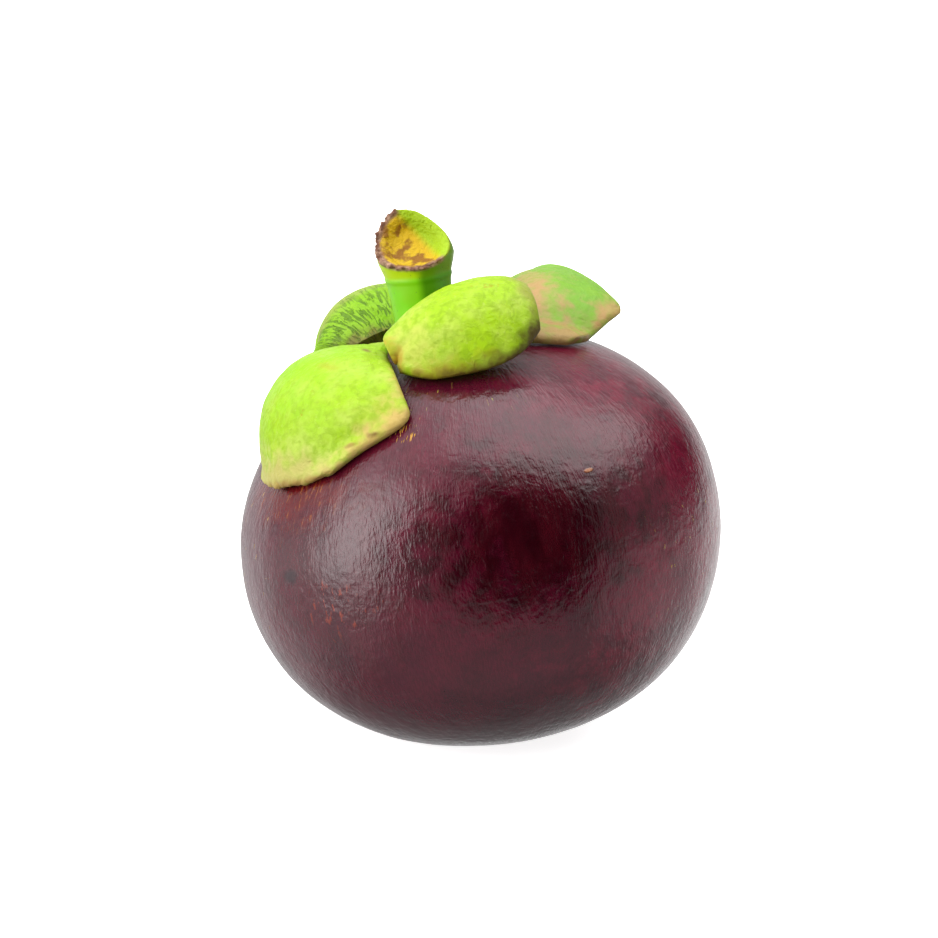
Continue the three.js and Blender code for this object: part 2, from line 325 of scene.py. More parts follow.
def outline_radius(height):
    """The stem's radius and height, on a smooth curve through its outline's points."""
    points = STEM_OUTLINE
    at = max(i for i in range(len(points) - 1) if points[i][1] <= height)
    around = [points[max(at - 1, 0)], points[at], points[at + 1], points[min(at + 2, len(points) - 1)]]
    r0, r1, r2, r3 = (point[0] for point in around)
    t = (height - around[1][1]) / (around[2][1] - around[1][1])
    bend = (2 * r0 - 5 * r1 + 4 * r2 - r3) * t * t + (3 * r1 - r0 - 3 * r2 + r3) * t**3
    return r1 + (bend + (r2 - r0) * t) / 2, height


def dome_lean(height):
    """How far the rounded end leans to -X at these heights."""
    rise = np.maximum(height - STEM_OUTLINE[-1][1], 0) / DOME["height"]
    return DOME["lean"] * rise ** DOME["bend"]


def stem_blank(name, grow=0):
    """The unbroken stem, extruded ring by ring in its own frame; grow makes it fatter, for a cutter."""
    joint_radius, joint_height = STEM_OUTLINE[-1]
    wall_steps, dome_steps = 22, 12
    rings = [outline_radius(joint_height * step / wall_steps) for step in range(wall_steps + 1)]
    for step in range(1, dome_steps):
        rise = sin(step / dome_steps * pi / 2)
        share = (1 - rise ** DOME["squareness"]) ** (1 / DOME["squareness"])
        rings.append((joint_radius * share, joint_height + DOME["height"] * rise))
    deselect()
    foot = (rings[0][0] + grow) * MM
    low = (0, 0, -grow * MM)
    bpy.ops.mesh.primitive_circle_add(vertices=96, radius=foot, fill_type="NGON", location=low)
    piece = new_piece(name)
    bpy.ops.object.transform_apply()
    edit_all(piece)
    before = (rings[0][0] + grow, -grow)
    for radius, height in rings:
        radius += grow
        if height > before[1]:
            rise = (0, 0, (height - before[1]) * MM)
            bpy.ops.mesh.extrude_region_move(TRANSFORM_OT_translate={"value": rise})
            share = radius / before[0]
            bpy.ops.transform.resize(value=(share, share, 1), center_override=(0, 0, height * MM))
            before = (radius, height)
    face_outwards(piece)
    points = points_of(piece)
    points[:, 0] -= dome_lean(points[:, 2])
    move_points(piece, points)
    return piece


def rosette_notch(angle):
    """1 in the notches between the rosette's lobes, 0 at their tips."""
    return np.abs(np.cos(angle * ROSETTE["lobes"] / 2)) ** ROSETTE["notch_sharpness"]


def rosette_blank(name, grow=0):
    """The lobed disc, resting at height 0; grow makes it fatter all round, for a cutter."""
    deselect()
    bpy.ops.mesh.primitive_circle_add(
        vertices=144, radius=ROSETTE["radius"] * MM, fill_type="NGON", location=(0, 0, 0)
    )
    piece = new_piece(name)
    points = points_of(piece)
    angle = np.arctan2(points[:, 1], points[:, 0])
    radius = ROSETTE["radius"] - ROSETTE["lobe_depth"] * rosette_notch(angle) + grow
    outline = [radius * np.cos(angle), radius * np.sin(angle), 0 * angle - grow]
    move_points(piece, np.stack(outline, axis=1))
    edit_all(piece)
    height = (ROSETTE["thickness"] + 2 * grow) * MM
    bpy.ops.mesh.extrude_region_move(TRANSFORM_OT_translate={"value": (0, 0, height)})
    face_outwards(piece)
    return piece


def midrib(sepal):
    """The line down the middle of a blade: its radius, height and heading at even steps."""
    steps = 200
    turned = smooth(between(BLADE["foot_turn"], 1, np.arange(steps + 1) / steps))
    heading = np.radians(between(sepal["rise"], sepal["droop"], turned))
    step = sepal["length"] / steps
    radius = SEPAL_FOOT_RADIUS + step * np.concatenate([[0], np.cumsum(np.cos(heading[:-1]))])
    height = SEPAL_FOOT_HEIGHT + step * np.concatenate([[0], np.cumsum(np.sin(heading[:-1]))])
    return np.linspace(0, 1, steps + 1), radius, height, heading


def half_width(sepal, u):
    """From the midrib to the edge at u: it opens from the foot and closes towards the tip."""
    opening = between(BLADE["foot_width"], 1, np.sin(np.minimum(u / sepal["widest"], 1) * pi / 2))
    past = np.maximum(u - sepal["widest"], 0) / (1 - sepal["widest"])
    closing = 1 - (1 - sepal["tip_share"]) * past**2
    return sepal["width"] * opening * closing


def half_thickness(u, v):
    """Half of a blade's thickness, which is less towards its edges and its tip."""
    return between(SEPAL_THICKNESS, SEPAL_EDGE_THICKNESS, np.maximum(np.abs(v), u) ** 3) / 2


def blade(sepal, u, v, offset):
    """Points of a blade in the fruit's frame: u from foot to tip, v from edge to edge, offset outwards."""
    corner = sepal["blunt"] * np.abs(v) ** sepal["corner_power"] + sepal["skew"] * v
    along = u * (1 - corner * u)
    waist = sepal["waist"] * np.maximum(1 - u / WAIST["end"], 0) ** WAIST["power"]
    taper = sepal["taper"] * np.maximum(u / TAPER["start"] - 1, 0) ** TAPER["power"]
    first, second = sepal["sides"]
    v = v * np.where(v > 0, second - waist - taper, first)
    at, radii, heights, headings = midrib(sepal)
    radius, height, heading = (np.interp(along, at, line) for line in (radii, heights, headings))
    cup = radians(sepal["cup"]) * between(BLADE["foot_cup"], 1, smooth(along * BLADE["cupped"]))
    reach = half_width(sepal, along) / cup
    side = (reach + offset) * np.sin(cup * v)
    out = (reach + offset) * np.cos(cup * v) - reach
    roll = radians(sepal["roll"]) * smooth(along * BLADE["rolled"])
    across = side * np.cos(roll) - out * np.sin(roll)
    out = side * np.sin(roll) + out * np.cos(roll)
    radius = radius - np.sin(heading) * out
    height = CROWN_HEIGHT + height + np.cos(heading) * out
    azimuth = radians(sepal["azimuth"])
    x = radius * cos(azimuth) - across * sin(azimuth) + CALYX_OFFSET
    y = radius * sin(azimuth) + across * cos(azimuth)
    return np.stack([x, y, height], axis=1)


def blade_sheet(name, along, across):
    """A flat grid, doubled by an extrusion; returns it with u and v of its points, and which of them are
    in the lower layer."""
    deselect()
    bpy.ops.mesh.primitive_grid_add(x_subdivisions=along, y_subdivisions=across, size=2)
    piece = new_piece(name)
    grid = points_of(piece) * MM
    edit_all(piece)
    bpy.ops.mesh.extrude_region_move(TRANSFORM_OT_translate={"value": (0, 0, -MM)})
    bpy.ops.object.mode_set(mode="OBJECT")
    flat = points_of(piece) * MM
    u = (flat[:, 0] + 1) / 2
    v = flat[:, 1]
    return piece, u, v, flat[:, 2] < grid[:, 2].min() - MM / 2


def sepal_space(key):
    """The room that a sepal and all below it take, as a solid to cut its neighbours with."""
    sepal = SEPALS[key]
    piece, u, v, below = blade_sheet("space", 40, 32)
    u = u * (1 + GAP / sepal["length"])
    v = v * (1 + GAP / sepal["width"])
    half = half_thickness(u, v)
    top = keep_off_skin(blade(sepal, u, v, half + GAP), 2 * GAP + 2 * half)
    move_points(piece, np.where(below[:, None], on_skin(top, -CUTTER_SINK), top))
    face_outwards(piece)
    return piece


# ---- materials --------------------------------------------------------------------------------------


def linear(code):
    """The linear colour of an sRGB hex value."""
    channels = [(code >> shift & 255) / 255 for shift in (16, 8, 0)]
    return tuple(c / 12.92 if c <= 0.04045 else ((c + 0.055) / 1.055) ** 2.4 for c in channels)


def opaque(colour):
    return (*colour[:3], 1.0)


def node(tree, kind, inputs=None, **settings):
    """Adds a node with its settings; inputs are values, or outputs of other nodes to link."""
    made = tree.nodes.new(kind)
    for name, value in settings.items():
        setattr(made, name, value)
    for name, value in (inputs or {}).items():
        if isinstance(value, bpy.types.NodeSocket):
            tree.links.new(value, made.inputs[name])
        else:
            made.inputs[name].default_value = value
    return made.outputs


def new_material(name):
    material = bpy.data.materials.new(name)
    material.use_nodes = True
    material.node_tree.nodes.clear()
    return material, material.node_tree


def grains(tree, where, size_mm, low, high, detail=2.0, distortion=0.0):
    """A mask from noise with features about this many millimetres apart: 0 below low, 1 above high."""
    inputs = {"Vector": where, "Scale": 1 / (size_mm * MM), "Detail": detail, "Distortion": distortion}
    value = node(tree, "ShaderNodeTexNoise", inputs)["Fac"]
    inputs = {"Value": value, "From Min": low, "From Max": high}
    return node(tree, "ShaderNodeMapRange", inputs, interpolation_type="SMOOTHSTEP")["Result"]


def times(tree, *factors):
    """The product of masks and numbers."""
    product = factors[0]
    for factor in factors[1:]:
        product = node(tree, "ShaderNodeMath", {0: product, 1: factor}, operation="MULTIPLY")[0]
    return product


def layered(tree, ground, layers):
    """Lays colours over a ground colour, each by its mask: sRGB hex values, or linear ones from settings."""
    for mask, colour in layers:
        over = linear(colour) if isinstance(colour, int) else colour
        inputs = {0: mask, 6: ground, 7: opaque(over)}
        ground = node(tree, "ShaderNodeMix", inputs, data_type="RGBA")[2]
    return ground


def summed(tree, parts, start=0.0):
    """The sum of masks, each times its weight, and of a start value."""
    total = start
    for mask, weight in parts:
        total = node(tree, "ShaderNodeMath", {0: mask, 1: weight, 2: total}, operation="MULTIPLY_ADD")[0]
    return total


def patch(tree, where, centre, reach, wobble, softness=0.5):
    """A soft-edged patch round a centre, in the units of where, with its outline shaken by wobble."""
    offset = node(tree, "ShaderNodeVectorMath", {0: where, 1: centre}, operation="SUBTRACT")[0]
    scaled = node(tree, "ShaderNodeVectorMath", {0: offset, 1: reach}, operation="DIVIDE")[0]
    away = node(tree, "ShaderNodeVectorMath", {0: scaled}, operation="LENGTH")["Value"]
    shaken = node(tree, "ShaderNodeMath", {0: wobble, 1: softness, 2: away}, operation="MULTIPLY_ADD")[0]
    inputs = {"Value": shaken, "From Min": 1 + softness, "From Max": 1 - softness / 2}
    return node(tree, "ShaderNodeMapRange", inputs, interpolation_type="SMOOTHSTEP")["Result"]


def surface(tree, colour, roughness, relief_mm, ior):
    """The finished surface; its relief is in millimetres."""
    bump = node(tree, "ShaderNodeBump", {"Height": relief_mm, "Distance": MM, "Strength": 1.0})["Normal"]
    inputs = {"Base Color": colour, "Roughness": roughness, "Normal": bump, "IOR": ior}
    shader = node(tree, "ShaderNodeBsdfPrincipled", inputs)[0]
    node(tree, "ShaderNodeOutputMaterial", {"Surface": shader})


def skin_point(azimuth, elevation):
    """A place on the rind, in metres in the fruit's frame."""
    direction = np.array([towards(azimuth, elevation)])
    return tuple(on_skin(direction, 0)[0] * MM)


def rind_material(settings):
    """Mangosteen rind: leathery, nearly black wine red under a thin waxy cuticle. The wax gives soft
    mauve sheens with broken meridional streaks, the low pebbling ripples their edges."""
    material, tree = new_material("mangosteen_rind")
    here = node(tree, "ShaderNodeTexCoord")["Object"]
    inputs = {"Vector": here, "Location": CENTRE * MM, "Rotation": (0, -LEAN, 0)}
    local = node(tree, "ShaderNodeMapping", inputs, vector_type="TEXTURE")["Vector"]
    # The fibres run from pole to pole: noise on a ring round the axis, stretched along it.
    split = node(tree, "ShaderNodeSeparateXYZ", {0: local})
    ring = node(tree, "ShaderNodeCombineXYZ", {"X": split["X"], "Y": split["Y"]})[0]
    around = node(tree, "ShaderNodeVectorMath", {0: ring}, operation="NORMALIZE")[0]
    fibre_width, fibre_length = 0.5, 1.5  # millimetres
    around = node(tree, "ShaderNodeVectorMath", {0: around, "Scale": RADIUS * MM}, operation="SCALE")[0]
    squeezed = times(tree, split["Z"], fibre_width / fibre_length)
    rise = node(tree, "ShaderNodeCombineXYZ", {"Z": squeezed})[0]
    fibre = node(tree, "ShaderNodeVectorMath", {0: around, 1: rise}, operation="ADD")[0]

    streaks = grains(tree, fibre, fibre_width, 0.3, 0.7, detail=3)
    fine_streaks = grains(tree, fibre, fibre_width / 2, 0.35, 0.65, detail=2)
    broad_streaks = grains(tree, fibre, 2.4, 0.35, 0.7, detail=3)
    clouds = grains(tree, local, 14, 0.4, 0.62, detail=3)
    blotches = grains(tree, local, 5, 0.45, 0.68, detail=4)
    pebbles = grains(tree, local, 1.3, 0.2, 0.8, detail=2, distortion=0.4)
    pores = grains(tree, local, 0.4, 0.2, 0.8, detail=2)
    shake = grains(tree, local, 2.2, 0.3, 0.7, detail=4)

    dashes = grains(tree, fibre, 0.45, 0.4, 0.62, detail=3)
    latex = grains(tree, fibre, 0.45, 0.7, 0.73, detail=2)

    def near(azimuth, elevation, reach, softness=0.7):
        """A ragged patch of the rind, its reach in millimetres."""
        reach = [size * MM for size in reach]
        return patch(tree, local, skin_point(azimuth, elevation), reach, shake, softness)

    fleck_places = summed(tree, [(near(330, -4, (9, 9, 9)), 1), (near(199, 5, (6, 8, 12)), 1)])
    flecks = times(tree, latex, fleck_places)
    shoulder_flecks = times(tree, latex, near(262, 50, (8, 5, 4)))
    rust = near(214, 25, (11, 11, 4.5))
    rust_flecks = times(tree, rust, grains(tree, fibre, 0.5, 0.6, 0.66, detail=3))
    russet = times(tree, near(236, -1, (6, 6, 3.5)), grains(tree, fibre, 0.5, 0.6, 0.66, detail=3))
    drips = times(tree, near(253, 39.5, (2, 2, 1.2), 0.3), grains(tree, fibre, 0.32, 0.56, 0.62, detail=1))
    scar = near(300.6, 23.2, (0.7, 0.7, 0.22), 0.5)
    bruise = near(222, 4.7, (1.3, 1.3, 1.0))
    colour = layered(tree, opaque(settings.wine), [
        (times(tree, near(300, 58, (26, 26, 14)), 0.75), 0x68102C),
        (times(tree, near(330, -8, (20, 20, 24)), 0.8), 0x8A1C38),
        # Painted shadow: a dark band on the rind just under the front sepal's lower margin.
        (times(tree, near(276, 57, (11, 9, 5)), 0.65), 0x2C0714),
        (times(tree, clouds, 0.5), 0x46091F),
        (times(tree, blotches, 0.5), 0x360515),
        # Painted shade: the rind is darkened on its belly towards the camera.
        (times(tree, near(286, 12, (17, 17, 11)), 0.88), 0x1C0103),
        (times(tree, near(233, 8, (12, 12, 12)), 0.5), 0x38050C),
        (times(tree, broad_streaks, 0.25), 0x5E1420),
        (times(tree, fine_streaks, 0.25), 0x26020C),
        (times(tree, rust, 0.55), 0x6E160C),
        (times(tree, rust_flecks, 0.4), 0xA86424),
        (times(tree, russet, 0.55), 0xA23C1C),
        (times(tree, bruise, 0.7), 0x1A0A14),
        (times(tree, flecks, 0.8), 0xB89C40),
        (times(tree, shoulder_flecks, 0.8), 0xA8A03C),
        (times(tree, drips, 0.85), 0xC08A2C),
        (times(tree, scar, 0.6), 0xC08058),
    ])
    # The wax has worn duller in dashes along the fibres.
    dulled = [(dashes, 0.06), (clouds, 0.04), (flecks, 0.2), (pores, 0.03)]
    roughness = summed(tree, dulled, settings.roughness)
    relief = summed(tree, [(pebbles, 0.045), (streaks, 0.015), (fine_streaks, 0.008), (pores, 0.004),
                           (broad_streaks, 0.012), (flecks, 0.02), (drips, 0.06), (scar, 0.05)])
    surface(tree, colour, roughness, relief, 1.5)
    return material


# Patches of colour on each sepal: colour, then centre and reach along it and across it from 0 to 1,
# and strength.
SEPAL_PATCHES = {
    "left": [
        (0x86C40E, (0.4, 0.38), (0.3, 0.4), 0.5),
        (0xBEAE68, (0.97, 0.5), (0.14, 0.9), 0.8),
        (0xC29C60, (0.62, 1.0), (0.42, 0.13), 0.85),
        (0xA06C38, (0.99, 0.5), (0.025, 0.9), 0.6),
        (0xB8842C, (0.5, 0.2), (0.04, 0.05), 0.6),
        (0xA8962C, (0.42, 0.6), (0.03, 0.06), 0.5),
        (0x7A5A30, (0.22, 0.72), (0.02, 0.05), 0.8),
        (0x6A4A1C, (0.72, 0.95), (0.03, 0.03), 0.85),
        (0x8A6A30, (0.8, 0.9), (0.02, 0.03), 0.7),
    ],
    "right": [
        (0x70A434, (0.5, 0.5), (2, 2), 0.88),
        (0xBC8C64, (0.43, 0.48), (0.24, 0.32), 0.85),
        (0xAE845A, (0.7, 0.05), (0.6, 0.3), 0.85),
        (0xC08A60, (0.97, 0.42), (0.12, 0.15), 0.7),
    ],
    "front": [
        (0xC4C458, (0.7, 0.12), (0.3, 0.2), 0.7),
        (0xB07C20, (0.6, 0.02), (0.32, 0.08), 0.85),
        (0x9C9A44, (0.6, 0.97), (0.36, 0.09), 0.75),
        (0xA08C20, (0.99, 0.3), (0.1, 0.3), 0.75),
        # The next two, the darkest, are partly the front sepal's real brown, drying edge and partly painted
        # shade where its tip curls under.
        (0x5A4418, (1.01, 0.6), (0.07, 0.6), 0.9),
        (0x42300F, (1.0, 0.95), (0.15, 0.2), 0.9),
    ],
    "back": [
        (0x72A80C, (0.5, 0.5), (2, 2), 0.75),
        (0x9C9C50, (0.45, 0.75), (0.1, 0.3), 0.6),
        (0x6C4A30, (0.02, 0.75), (0.1, 0.25), 0.8),
    ],
}
# FURROWED sets both how deep the wrinkles near a sepal's foot are and how dark the shade painted in them is.
FURROWED = {"left": 0, "right": 0, "front": 0, "back": 0.65}  # how dark the wrinkles near its foot are


def sepal_material(key, settings):
    """Mangosteen sepal: a thick leathery leaf, waxy and cool to the touch. Lime green, mottled paler,
    with corky specks and tan margins where it has begun to dry."""
    material, tree = new_material(f"sepal_skin_{key}")
    here = node(tree, "ShaderNodeTexCoord")["Object"]
    blade_place = node(tree, "ShaderNodeUVMap", uv_map="blade")[0]
    pale = grains(tree, here, 4.5, 0.42, 0.68, detail=4)
    mottle = grains(tree, here, 0.8, 0.38, 0.7, detail=4)
    speckle = grains(tree, here, 0.5, 0.62, 0.72, detail=2)
    pits = times(tree, grains(tree, here, 1.2, 0.68, 0.74, detail=3), grains(tree, here, 7, 0.45, 0.6))
    shake = grains(tree, here, 1.6, 0.2, 0.8, detail=4)
    wrinkles = grains(tree, here, 0.8, 0.3, 0.7, detail=4, distortion=0.6)
    pebbles = grains(tree, here, 2.2, 0.3, 0.7, detail=2)
    layers = [
        (times(tree, pale, 0.7), settings.pale),
        (times(tree, mottle, 0.5), settings.olive),
        (times(tree, speckle, 0.4), settings.pale),
        (times(tree, pits, 0.6), 0xA87A20),
    ]
    for colour, centre, reach, strength in SEPAL_PATCHES[key]:
        mask = patch(tree, blade_place, (*centre, 0), (*reach, 1), shake, 0.9)
        layers.append((times(tree, mask, strength), colour))
    # Wrinkles run along the blade from its foot; shade is painted dark green into their creases.
    along = node(tree, "ShaderNodeVectorMath", {0: blade_place, 1: (0.22, 1.2, 1)}, operation="MULTIPLY")[0]
    furrows_and_their_shade = times(tree, grains(tree, along, 18, 0.5, 0.58, detail=5, distortion=0.8),
                    patch(tree, blade_place, (0.15, 0.65, 0), (0.3, 0.4, 1), shake, 0.9))
    furrows_and_their_shade = times(tree, furrows_and_their_shade, FURROWED[key])
    # Painted shade in the creases of the wrinkles.
    layers.append((furrows_and_their_shade, 0x3A5C08))
    colour = layered(tree, opaque(settings.lime), layers)
    roughness = summed(tree, [(mottle, 0.12), (pits, 0.2)], settings.roughness)
    relief = summed(tree, [(wrinkles, 0.05), (pebbles, 0.05), (pits, -0.05), (furrows_and_their_shade, -0.25)])
    surface(tree, colour, roughness, relief, 1.32)
    return material


def stem_material(settings):
    """Green stem: smooth living bark, bright lime, with a dry corky lip round the break and yellow pith
    inside it."""
    material, tree = new_material("stem_bark_and_pith")
    here = node(tree, "ShaderNodeTexCoord")["Object"]
    cork, pith, fresh, young, painted_shade = (
        node(tree, "ShaderNodeAttribute", attribute_name=name)["Fac"]
        for name in ("cork", "pith", "fresh", "young", "painted_shade")
    )
    clouds = grains(tree, here, 3, 0.35, 0.65, detail=3)
    stains = grains(tree, here, 1.6, 0.46, 0.62, detail=4)
    crumbs = grains(tree, here, 0.5, 0.3, 0.7, detail=4)
    dots = grains(tree, here, 0.45, 0.72, 0.76, detail=1)
    broken = grains(tree, here, 0.9, 0.4, 0.6, detail=4)
    colour = layered(tree, opaque(settings.bark), [
        (times(tree, clouds, 0.3), 0x8CB41A),
        (times(tree, young, 0.85), 0xB8CC00),
        # Painted shade: darker green on the bark's side towards +X.
        (times(tree, painted_shade, 0.8), 0x2F6A00),
        (times(tree, dots, 0.7), 0x3C5A0A),
        (pith, 0xC8A400),
        (times(tree, pith, stains, 0.8), 0x743800),
        (times(tree, pith, fresh), 0x9ABA00),
        (cork, 0x7A5240),
        (times(tree, cork, broken, 0.9), 0xB8947A),
        (times(tree, cork, crumbs, 0.5), 0x4E3020),
    ])
    roughness = summed(tree, [(cork, 0.35), (pith, 0.2), (clouds, 0.05)], settings.roughness)
    rough_parts = node(tree, "ShaderNodeMath", {0: cork, 1: pith}, operation="MAXIMUM")[0]
    relief = summed(tree, [(times(tree, crumbs, rough_parts), 0.12), (clouds, 0.02), (dots, -0.03)])
    surface(tree, colour, roughness, relief, 1.45)
    return material


def rosette_material():
    """Dried stigma: brown, corky and dull, paler on its worn lobes."""
    material, tree = new_material("dried_stigma")
    here = node(tree, "ShaderNodeTexCoord")["Object"]
    worn = grains(tree, here, 1.5, 0.4, 0.65, detail=4)
    crumbs = grains(tree, here, 0.4, 0.3, 0.7, detail=4)
    layers = [(times(tree, worn, 0.7), 0x7A5A44), (times(tree, crumbs, 0.3), 0x24120C)]
    colour = layered(tree, opaque(linear(0x3A2018)), layers)
    relief = summed(tree, [(crumbs, 0.08), (worn, 0.05)])
    surface(tree, colour, 0.8, relief, 1.45)
    return material


# ---- the studio -------------------------------------------------------------------------------------

# Each panel of light or shade round the fruit: the azimuth from the camera's side towards +X and the
# elevation that it is centred on, its half width and half height, the softness of its edges, and how
# much light it adds; a panel of shade has shade, the share of light that it takes away.
PANELS = [
    {"at": (90, 70), "half": (30, 35), "soft": 0.45, "light": 3.1},
    {"at": (165, 52), "half": (42, 24), "soft": 0.5, "light": 0.5},
    {"at": (-85, 55), "half": (45, 18), "soft": 0.5, "light": 1.0},
    {"at": (-63, 11), "half": (17, 25), "soft": 0.8, "light": 5.6},
    {"at": (-92, 20), "half": (20, 34), "soft": 0.5, "light": 0.8},
    {"at": (115, -22), "half": (50, 18), "soft": 0.6, "light": 0.6},
    {"at": (-100, -24), "half": (45, 24), "soft": 0.6, "light": 0.6},
    {"at": (180, -5), "half": (50, 30), "soft": 0.5, "light": 0.4},
    {"at": (0, -50), "half": (60, 28), "soft": 0.6, "light": 0.25},
    {"at": (20, 12), "half": (36, 34), "soft": 0.25, "shade": 1.0},
    {"at": (131, 12), "half": (20, 13), "soft": 0.5, "shade": 1.0},
    {"at": (142, 50), "half": (15, 18), "soft": 0.6, "shade": 0.5},
]
FILL_LIGHT = 0.38  # the light between the panels
# The direction that it comes from is an azimuth from +X and an elevation; metres and watts.
FRONT_LIGHT = {"from": (-105, 30), "distance": 1.2, "size": 0.7, "power": 4.5}
BACKDROP = 1.0  # what the camera itself sees behind the fruit
# The camera sees a light table that glows; for the fruit it is dimmer, so that it doesn't light it from
# below.
TABLE = {"seen": 0xF4F4F4, "glow": 0.85, "dim": 0x808080}
# Where the camera aims, in millimetres from the fruit's centre: along X, and up across its own view.
AIM = {"sideways": -1.401, "above": 8.171}
SENSOR = 36  # width of the camera's sensor, in millimetres


def panel_mask(tree, direction, panel):
    """1 in the directions that a panel covers, 0 outside it."""
    azimuth, elevation = (radians(angle) for angle in panel["at"])
    # Turned so that the panel's middle lies along +X, with +Y to its side and +Z up.
    turned = direction
    for turn in ((0, 0, pi / 2 - azimuth), (0, elevation, 0)):
        inputs = {"Vector": turned, "Rotation": turn}
        turned = node(tree, "ShaderNodeMapping", inputs, vector_type="POINT")[0]
    split = node(tree, "ShaderNodeSeparateXYZ", {0: turned})
    ahead = node(tree, "ShaderNodeMath", {0: split["X"], 1: 0.02}, operation="MAXIMUM")[0]
    roundness = 4.0  # a panel's outline is a rectangle with well rounded corners
    powers = []
    for axis, half in zip("YZ", panel["half"]):
        slope = node(tree, "ShaderNodeMath", {0: split[axis], 1: ahead}, operation="DIVIDE")[0]
        share = node(tree, "ShaderNodeMath", {0: slope, 1: tan(radians(half))}, operation="DIVIDE")[0]
        size = node(tree, "ShaderNodeMath", {0: share}, operation="ABSOLUTE")[0]
        powers.append(node(tree, "ShaderNodeMath", {0: size, 1: roundness}, operation="POWER")[0])
    both = node(tree, "ShaderNodeMath", {0: powers[0], 1: powers[1]}, operation="ADD")[0]
    away = node(tree, "ShaderNodeMath", {0: both, 1: 1 / roundness}, operation="POWER")[0]
    inputs = {"Value": away, "From Min": 1 + panel["soft"], "From Max": 1 - panel["soft"]}
    return node(tree, "ShaderNodeMapRange", inputs, interpolation_type="SMOOTHSTEP")["Result"]


def studio_light(scene):
    """Lights the fruit with the panels, and shows the camera an even white behind it."""
    world = bpy.data.worlds.new("studio")
    scene.world = world
    world.use_nodes = True
    tree = world.node_tree
    tree.nodes.clear()
    direction = node(tree, "ShaderNodeTexCoord")["Generated"]
    light = FILL_LIGHT
    for panel in PANELS:
        mask = panel_mask(tree, direction, panel)
        if "light" in panel:
            inputs = {0: mask, 1: panel["light"], 2: light}
            light = node(tree, "ShaderNodeMath", inputs, operation="MULTIPLY_ADD")[0]
        else:
            inputs = {0: mask, 1: -panel["shade"], 2: 1.0}
            kept = node(tree, "ShaderNodeMath", inputs, operation="MULTIPLY_ADD")[0]
            light = times(tree, light, kept)
    seen = node(tree, "ShaderNodeLightPath")["Is Camera Ray"]
    strength = node(tree, "ShaderNodeMix", {0: seen, 2: light, 3: BACKDROP})[0]
    background = node(tree, "ShaderNodeBackground", {"Color": (1, 1, 1, 1), "Strength": strength})[0]
    node(tree, "ShaderNodeOutputWorld", {"Surface": background})


# ---- settings ---------------------------------------------------------------------------------------


def length_setting(name, description, default):
    return bpy.props.FloatProperty(name=name, description=description, default=default, unit="LENGTH")


def share_setting(name, description, default):
    return bpy.props.FloatProperty(
        name=name, description=description, default=default, min=0, max=1, subtype="FACTOR"
    )


def colour_setting(name, description, code):
    return bpy.props.FloatVectorProperty(
        name=name, description=description, subtype="COLOR", size=3, min=0, max=1, default=linear(code)
    )


class FruitSettings(bpy.types.PropertyGroup):
    segments: bpy.props.IntProperty(name="Segments", description="Faces round the fruit", default=352, min=64)
    rings: bpy.props.IntProperty(name="Rings", description="Faces from pole to pole", default=192, min=32)
    swell: length_setting("Swell", "Height of the broad unevenness of the skin", 0.1 * MM)
    roughness: share_setting("Roughness", "Roughness of the wax at its glossiest", 0.105)
    wine: colour_setting("Wine", "Ground colour of the rind", 0x540A22)


class SepalSettings(bpy.types.PropertyGroup):
    along: bpy.props.IntProperty(name="Along", description="Faces from foot to tip", default=104, min=24)
    across: bpy.props.IntProperty(name="Across", description="Faces from edge to edge", default=96, min=24)
    swell: length_setting("Swell", "Height of the unevenness of the blade", 0.22 * MM)
    roughness: share_setting("Roughness", "Roughness of the smoothest skin", 0.42)
    lime: colour_setting("Lime", "Ground colour of the sepals", 0x9AC110)
    pale: colour_setting("Pale", "Paler mottling of the sepals", 0xB0C44C)
    olive: colour_setting("Olive", "Darker mottling of the sepals", 0x7C9C14)


class StemSettings(bpy.types.PropertyGroup):
    grain: length_setting("Grain", "Size of the faces of the stem's skin", 0.17 * MM)
    roughness: share_setting("Roughness", "Roughness of the green bark", 0.35)
    bark: colour_setting("Bark", "Colour of the green bark", 0x75C200)


class StageSettings(bpy.types.PropertyGroup):
    lens: bpy.props.FloatProperty(name="Lens", description="Focal length in millimetres", default=100, min=20)
    elevation: bpy.props.FloatProperty(
        name="Elevation", description="How far the camera looks down", default=radians(13), subtype="ANGLE"
    )
    distance: length_setting("Distance", "Camera to the fruit's middle", 0.3379)
    floor_size: length_setting("Floor", "Side of the square floor", 6)


# ---- operators --------------------------------------------------------------------------------------


